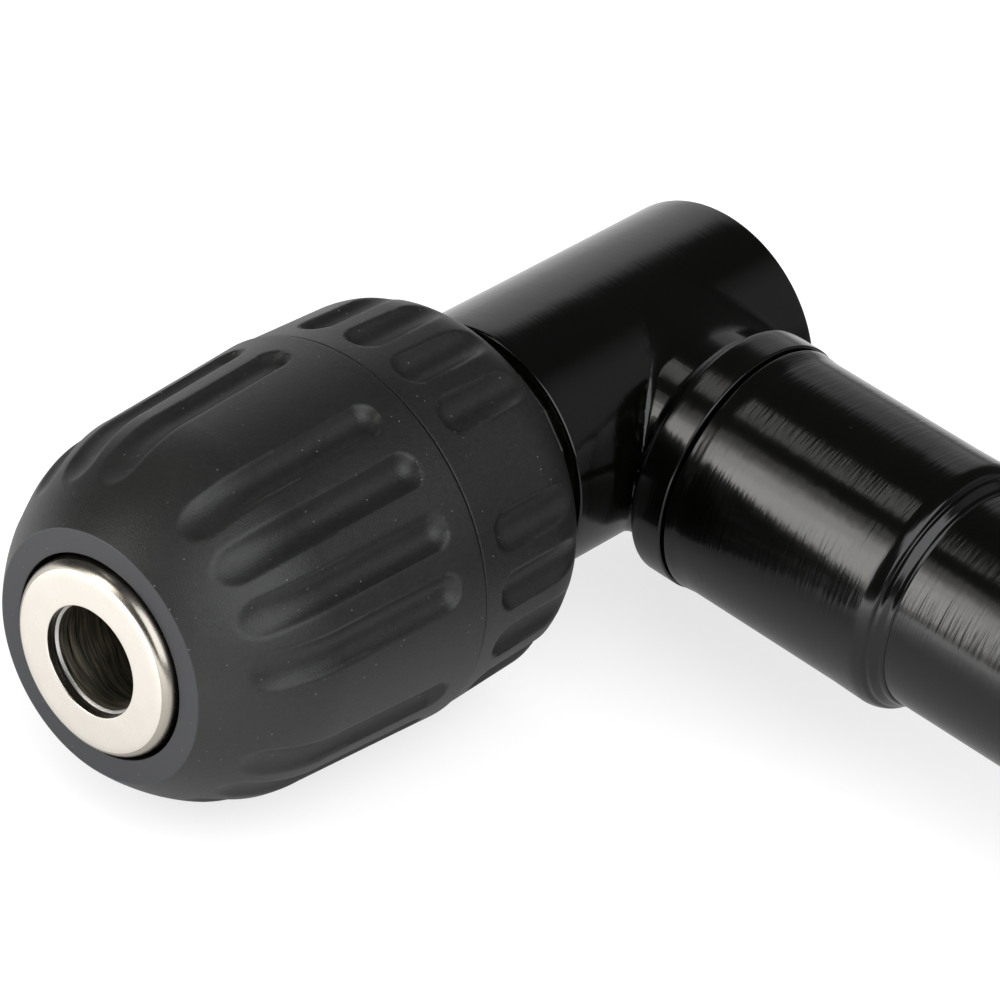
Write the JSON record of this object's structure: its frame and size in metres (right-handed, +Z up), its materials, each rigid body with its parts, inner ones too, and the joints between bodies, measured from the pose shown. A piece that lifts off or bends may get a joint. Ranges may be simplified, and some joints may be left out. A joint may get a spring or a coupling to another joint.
{
  "type": "right angle drill adapter",
  "caption": "Right angle drill adapter: a hex shank in a long tube drives bevel gears in a coated head, which turn a keyless chuck with fluted sleeves at 90 degrees.",
  "frame": {"origin": "centre of the hex shank's end face", "axes": "+X along the shank, out of its end; the chuck's nose points along -Y; +Z up"},
  "size_m": [0.1669, 0.0834, 0.0378],
  "materials": {
    "gloss_black_coat": "thick gloss black coat",
    "black_plastic": "satin moulded, fine grain",
    "nickel_plate": "satin nickel plate",
    "machined_steel": "machined",
    "sintered_bronze": "sintered, oiled",
    "seal_rubber": "matte"
  },
  "bodies": {
    "housing": {"head_housing": "gloss_black_coat", "barrel": "gloss_black_coat", "tube": "gloss_black_coat", "end_cap": "gloss_black_coat", "spindle_bearing_outer_race": "machined_steel", "pinion_bearing_outer_race": "machined_steel", "shank_bearing_outer_race": "machined_steel", "spindle_bush": "sintered_bronze", "head_circlip": "machined_steel", "neck_circlip": "machined_steel", "wave_washer": "machined_steel", "cap_circlip": "machined_steel", "shaft_seal": "seal_rubber"},
    "input_drive": {"input_shaft": "machined_steel", "input_pinion": "machined_steel", "pinion_pin": "machined_steel", "pinion_bearing_inner_race": "machined_steel", "shank_bearing_inner_race": "machined_steel"},
    "spindle_and_chuck": {"output_spindle": "machined_steel", "output_gear": "machined_steel", "gear_pin": "machined_steel", "spindle_bearing_inner_race": "machined_steel", "chuck_body": "machined_steel", "nose_ring": "nickel_plate", "rear_sleeve": "black_plastic", "chuck_screw": "machined_steel"},
    "tightening_sleeve": {"front_sleeve": "black_plastic", "nut_half_a": "machined_steel", "nut_half_b": "machined_steel", "nut_ring": "machined_steel", "thrust_washer": "machined_steel"},
    "jaw_1": {"jaw_1": "machined_steel"},
    "jaw_2": {"jaw_2": "machined_steel"},
    "jaw_3": {"jaw_3": "machined_steel"},
    "spindle_bearing_cage": {"spindle_bearing_balls": "machined_steel"},
    "pinion_bearing_cage": {"pinion_bearing_balls": "machined_steel"},
    "shank_bearing_cage": {"shank_bearing_balls": "machined_steel"},
    "thrust_cage": {"thrust_balls": "machined_steel"}
  },
  "joints": [
    {"name": "chuck_spin", "type": "hinge", "parent": "housing", "child": "spindle_and_chuck", "pos_m": [-0.148, 0, 0], "axis": [0, 1, 0], "continuous": true},
    {"name": "shank_spin", "type": "hinge", "parent": "housing", "child": "input_drive", "pos_m": [-0.148, 0, 0], "axis": [1, 0, 0], "continuous": true},
    {"name": "sleeve_turn", "type": "hinge", "parent": "spindle_and_chuck", "child": "tightening_sleeve", "pos_m": [-0.148, 0, 0], "axis": [0, 1, 0], "range_deg": [0, 4680]},
    {"name": "jaw_1_slide", "type": "slide", "parent": "spindle_and_chuck", "child": "jaw_1", "axis": [0, -0.9613, 0.2756], "range_m": [0, 0.01652]},
    {"name": "jaw_2_slide", "type": "slide", "parent": "spindle_and_chuck", "child": "jaw_2", "axis": [0.2387, -0.9613, -0.1378], "range_m": [0, 0.01652]},
    {"name": "jaw_3_slide", "type": "slide", "parent": "spindle_and_chuck", "child": "jaw_3", "axis": [-0.2387, -0.9613, -0.1378], "range_m": [0, 0.01652]},
    {"name": "spindle_cage_spin", "type": "hinge", "parent": "housing", "child": "spindle_bearing_cage", "pos_m": [-0.148, 0, 0], "axis": [0, 1, 0], "continuous": true},
    {"name": "pinion_cage_spin", "type": "hinge", "parent": "housing", "child": "pinion_bearing_cage", "pos_m": [-0.148, 0, 0], "axis": [1, 0, 0], "continuous": true},
    {"name": "shank_cage_spin", "type": "hinge", "parent": "housing", "child": "shank_bearing_cage", "pos_m": [-0.148, 0, 0], "axis": [1, 0, 0], "continuous": true},
    {"name": "thrust_cage_spin", "type": "hinge", "parent": "spindle_and_chuck", "child": "thrust_cage", "pos_m": [-0.148, 0, 0], "axis": [0, 1, 0], "range_deg": [0, 2340]}
  ],
  "couplings": [
    {"joint": "shank_spin", "follows": "chuck_spin", "ratio": 1},
    {"joint": "spindle_cage_spin", "follows": "chuck_spin", "ratio": 0.416},
    {"joint": "pinion_cage_spin", "follows": "chuck_spin", "ratio": 0.4267},
    {"joint": "shank_cage_spin", "follows": "chuck_spin", "ratio": 0.44},
    {"joint": "jaw_1_slide", "follows": "sleeve_turn", "m_per_rad": 0.00020213},
    {"joint": "jaw_2_slide", "follows": "sleeve_turn", "m_per_rad": 0.00020213},
    {"joint": "jaw_3_slide", "follows": "sleeve_turn", "m_per_rad": 0.00020213},
    {"joint": "thrust_cage_spin", "follows": "sleeve_turn", "ratio": 0.5}
  ]
}
